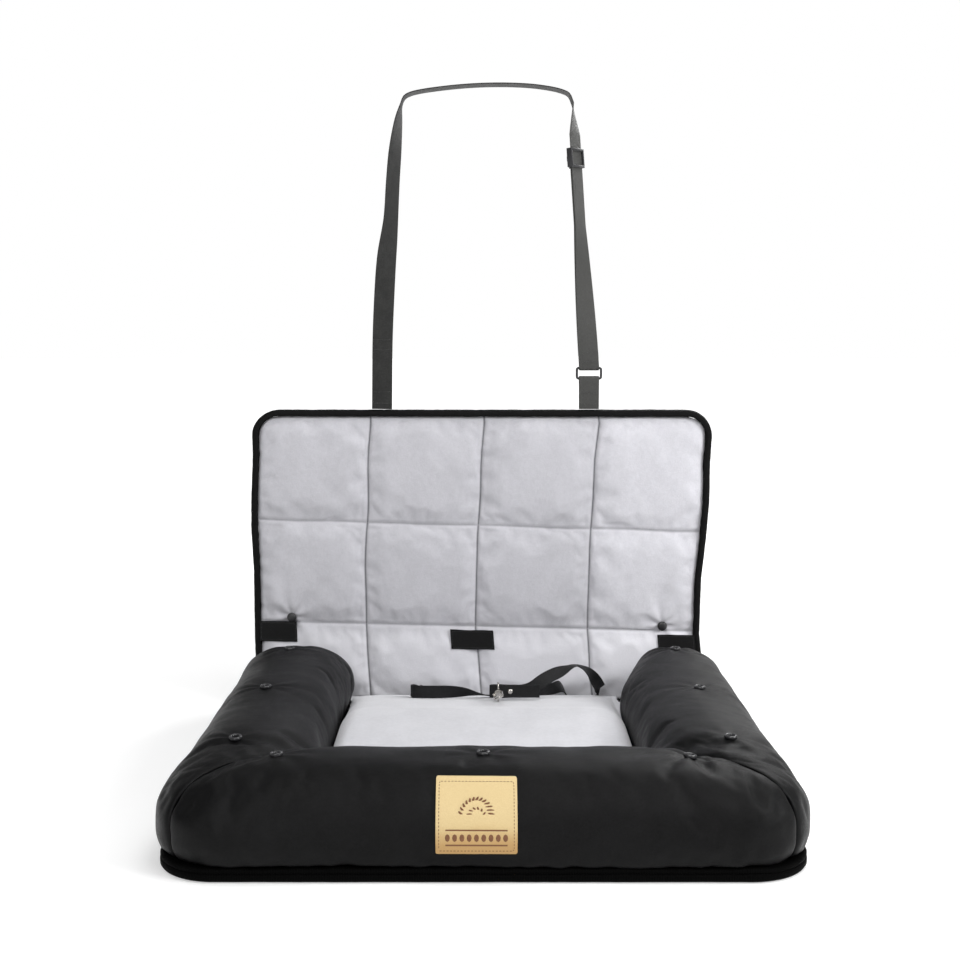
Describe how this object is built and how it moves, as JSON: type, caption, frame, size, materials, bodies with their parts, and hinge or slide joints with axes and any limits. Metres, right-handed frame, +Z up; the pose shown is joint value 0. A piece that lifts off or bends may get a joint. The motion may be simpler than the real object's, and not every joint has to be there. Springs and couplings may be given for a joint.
{
  "type": "dog car seat pad",
  "caption": "Dog car seat pad with a quilted folding back panel, stuffed bolsters round a cushion, an adjustable headrest strap and a tether with a swivel snap hook.",
  "frame": {"origin": "on the floor, under the middle of the bounding box", "axes": "+Z up, +X to the right of someone facing the open front, the front bolster faces -Y"},
  "size_m": [0.5906, 0.5824, 0.7719],
  "materials": {
    "black_fabric": "satin woven polyester, black",
    "black_webbing": "woven webbing, black",
    "black_binding": "ribbed bias tape, near black",
    "hook_and_loop": "hook-and-loop pile, black",
    "grey_plush": "short plush, light lilac grey",
    "pale_plush": "short plush, pale grey",
    "white_fibre": "loose fibre filling, white",
    "grey_backing": "coated woven backing, dark grey",
    "black_rubber": "anti-slip sheet, matt black",
    "tan_leatherette": "smooth leatherette, tan",
    "black_plastic": "satin moulded plastic, black",
    "steel": "bright nickel plate"
  },
  "bodies": {
    "bed": {"base_binding": "black_binding", "base_mat": "black_fabric", "cushion_cover": "pale_plush", "cushion_filling": "white_fibre", "eyelet_front_left": "black_plastic", "eyelet_front_middle": "black_plastic", "eyelet_front_right": "black_plastic", "eyelet_left_fore": "black_plastic", "eyelet_left_mid": "black_plastic", "eyelet_left_rear": "black_plastic", "eyelet_right_fore": "black_plastic", "eyelet_right_mid": "black_plastic", "eyelet_right_rear": "black_plastic", "front_bolster_cover": "black_fabric", "front_bolster_filling": "white_fibre", "hook_eye": "steel", "label_patch": "tan_leatherette", "left_bolster_cover": "black_fabric", "left_bolster_filling": "white_fibre", "non_slip_underlay": "black_rubber", "right_bolster_cover": "black_fabric", "right_bolster_filling": "white_fibre", "tether_anchor": "black_webbing", "tether_rivet": "steel", "tether_webbing": "black_webbing"},
    "panel_lower": {"lower_quilt": "grey_plush", "lower_backing": "grey_backing", "lower_binding": "black_binding", "fastener_patch_left": "hook_and_loop", "fastener_patch_middle": "hook_and_loop", "fastener_patch_right": "hook_and_loop"},
    "panel_upper": {"upper_quilt": "grey_plush", "upper_backing": "grey_backing", "upper_binding": "black_binding", "snap_cap_left": "black_plastic", "snap_cap_right": "black_plastic"},
    "headrest_loop": {"headrest_strap": "black_webbing", "strap_return_run": "black_webbing", "ring_tab": "black_webbing", "strap_ring": "black_plastic"},
    "slider": {"strap_slider": "black_plastic", "strap_sewn_end": "black_webbing"},
    "hook": {"snap_hook": "steel", "gate_pin": "steel"},
    "gate": {"hook_gate": "steel"}
  },
  "joints": [
    {"name": "panel_fold_back", "type": "hinge", "parent": "bed", "child": "panel_lower", "pos_m": [0, 0.2838, 0], "axis": [1, 0, 0], "range_deg": [-90, 0]},
    {"name": "panel_fold_forward", "type": "hinge", "parent": "panel_lower", "child": "panel_upper", "pos_m": [0, 0.2688, 0.103], "axis": [1, 0, 0], "range_deg": [0, 90]},
    {"name": "strap_fold", "type": "hinge", "parent": "panel_upper", "child": "headrest_loop", "pos_m": [0, 0.2763, 0.3781], "axis": [1, 0, 0], "range_deg": [-90, 0]},
    {"name": "slider_travel", "type": "slide", "parent": "headrest_loop", "child": "slider", "axis": [-0.0706, 0, 0.9975], "range_m": [-0.065, 0.015], "deforming": ["strap_return_run"]},
    {"name": "hook_swivel", "type": "hinge", "parent": "bed", "child": "hook", "pos_m": [0.018, 0.1173, 0.0594], "axis": [0, -0.9962, 0.0872], "continuous": true},
    {"name": "gate_opening", "type": "hinge", "parent": "hook", "child": "gate", "pos_m": [0.0137, 0.1099, 0.0581], "axis": [-0.4226, 0.079, 0.9029], "range_deg": [0, 25], "stiffness_Nm_per_rad": 0.01, "springref_deg": -28.65}
  ]
}
